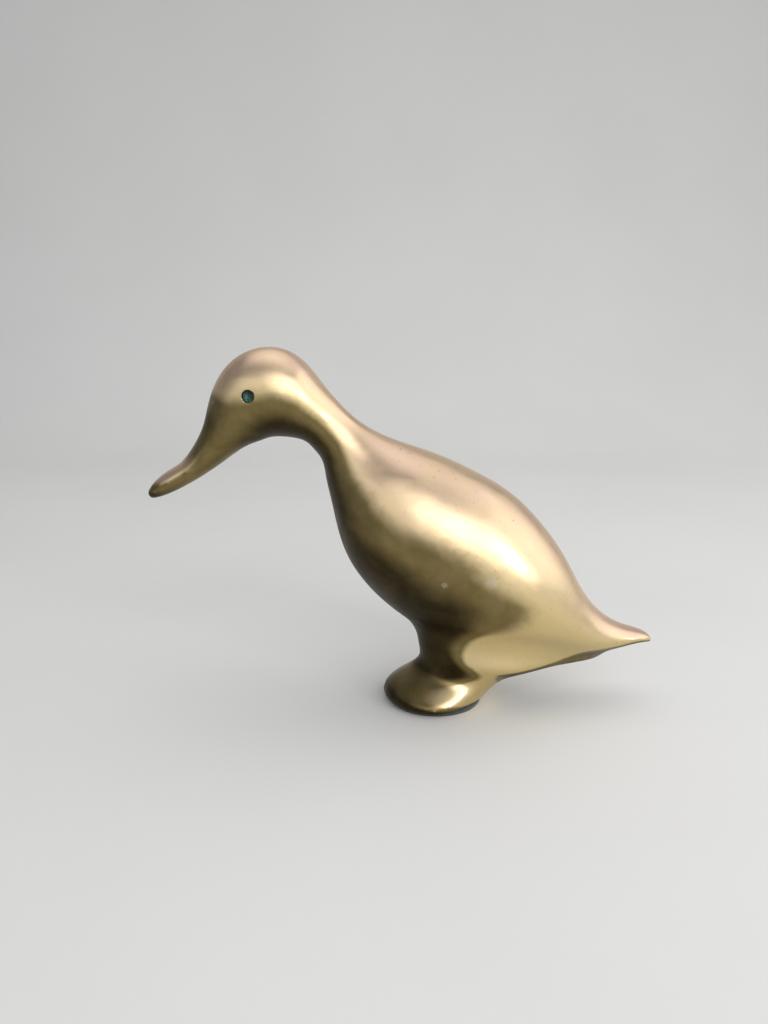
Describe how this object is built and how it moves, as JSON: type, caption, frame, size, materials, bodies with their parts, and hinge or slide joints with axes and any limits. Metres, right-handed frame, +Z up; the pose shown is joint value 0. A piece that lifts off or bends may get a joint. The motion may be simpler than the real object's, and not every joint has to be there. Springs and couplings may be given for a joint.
{
  "type": "brass duck figurine",
  "caption": "Free-standing cast duck figurine with a bowed head, a tapering tail and one round foot, for a shelf or desk.",
  "frame": {"origin": "centre of the overall bounds, on the underside of the felt", "axes": "+Z up, -X towards the bill, +X towards the tail, the halves meet on the plane Y = 0"},
  "size_m": [0.1495, 0.0426, 0.1064],
  "materials": {
    "brass": "satin",
    "braze": "satin",
    "verdigris": "matte",
    "felt": "matte"
  },
  "bodies": {
    "root": {"left_shell": "brass", "right_shell": "brass", "seam_braze": "braze", "register_pins": "brass", "left_eye": "verdigris", "right_eye": "verdigris", "felt_pad": "felt"}
  },
  "joints": []
}
